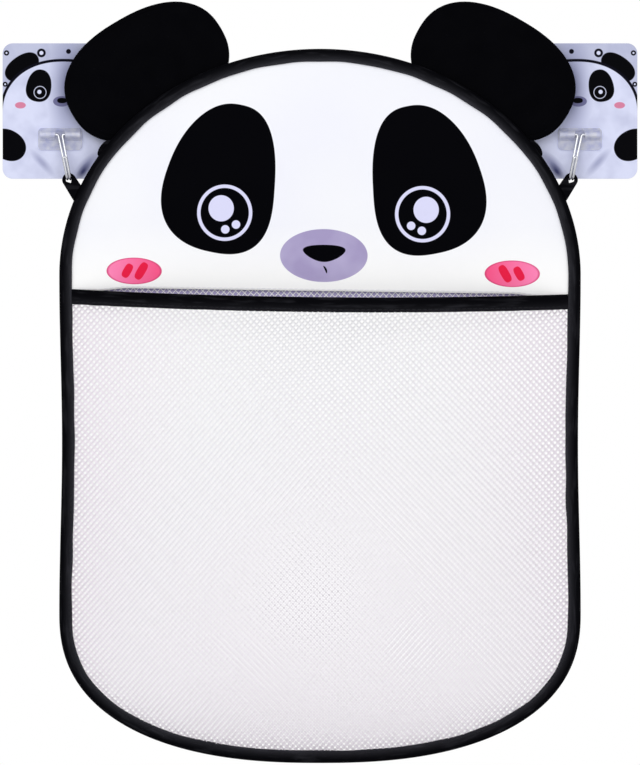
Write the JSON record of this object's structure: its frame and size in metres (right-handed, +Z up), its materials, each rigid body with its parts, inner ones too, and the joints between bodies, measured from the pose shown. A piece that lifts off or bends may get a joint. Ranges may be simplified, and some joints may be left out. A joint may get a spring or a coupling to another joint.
{
  "type": "bath toy organizer",
  "caption": "Net bag with a round eared head on a spring hoop, hung by cloth loops from wire hooks on adhesive plates.",
  "frame": {"origin": "point on the wall midway between the centres of the two adhesive plates", "axes": "+Z up, +X to the right seen from the front, +Y into the wall, so that the front faces -Y"},
  "size_m": [0.3748, 0.0587, 0.4489],
  "materials": {
    "black_tape": "woven polyester tape, black, slight sheen",
    "ear_cloth": "smooth black polyester",
    "ear_foam": "thin black foam sheet",
    "face_cloth": "glossy coated polyester, white with a print in black, lavender and pink",
    "lining_cloth": "plain white polyester",
    "net_yarn": "white knitted polyester mesh",
    "printed_sheet": "pale lavender plastic sheet, printed",
    "clear_plastic": "clear moulded plastic",
    "adhesive_film": "clear adhesive film",
    "stainless_steel": "bright stainless steel",
    "spring_steel": "drawn spring steel"
  },
  "bodies": {
    "plates": {"left_adhesive_pad": "adhesive_film", "left_printed_plate": "printed_sheet", "left_hook_boss": "clear_plastic", "right_adhesive_pad": "adhesive_film", "right_printed_plate": "printed_sheet", "right_hook_boss": "clear_plastic"},
    "left_hook": {"left_wire_hook": "stainless_steel"},
    "right_hook": {"right_wire_hook": "stainless_steel"},
    "bag": {"edge_binding": "black_tape", "spring_hoop": "spring_steel", "hoop_ferrule": "stainless_steel", "face_panel": "face_cloth", "face_lining": "lining_cloth", "back_net": "net_yarn", "mouth_band": "black_tape", "pocket_net_1_1": "net_yarn", "pocket_net_1_2": "net_yarn", "pocket_net_1_3": "net_yarn", "pocket_net_2_1": "net_yarn", "pocket_net_2_2": "net_yarn", "pocket_net_2_3": "net_yarn", "pocket_net_3_1": "net_yarn", "pocket_net_3_2": "net_yarn", "pocket_net_3_3": "net_yarn", "left_ear_front": "ear_cloth", "left_ear_back": "ear_cloth", "left_ear_core": "ear_foam", "left_hanging_loop": "black_tape", "left_side_tab": "black_tape", "right_ear_front": "ear_cloth", "right_ear_back": "ear_cloth", "right_ear_core": "ear_foam", "right_hanging_loop": "black_tape", "right_side_tab": "black_tape"}
  },
  "joints": [
    {"name": "left_hook_flip", "type": "hinge", "parent": "plates", "child": "left_hook", "pos_m": [-0.1534, -0.0044, -0.014], "axis": [-1, 0, 0], "range_deg": [0, 60]},
    {"name": "right_hook_flip", "type": "hinge", "parent": "plates", "child": "right_hook", "pos_m": [0.1534, -0.0044, -0.014], "axis": [-1, 0, 0], "range_deg": [0, 60]},
    {"name": "bag_hang", "type": "hinge", "parent": "left_hook", "child": "bag", "pos_m": [-0.1488, -0.01275, -0.0363], "axis": [-1, 0, 0], "range_deg": [-60, 0]}
  ],
  "couplings": [
    {"joint": "right_hook_flip", "follows": "left_hook_flip", "ratio": 1},
    {"joint": "bag_hang", "follows": "left_hook_flip", "ratio": -1}
  ]
}
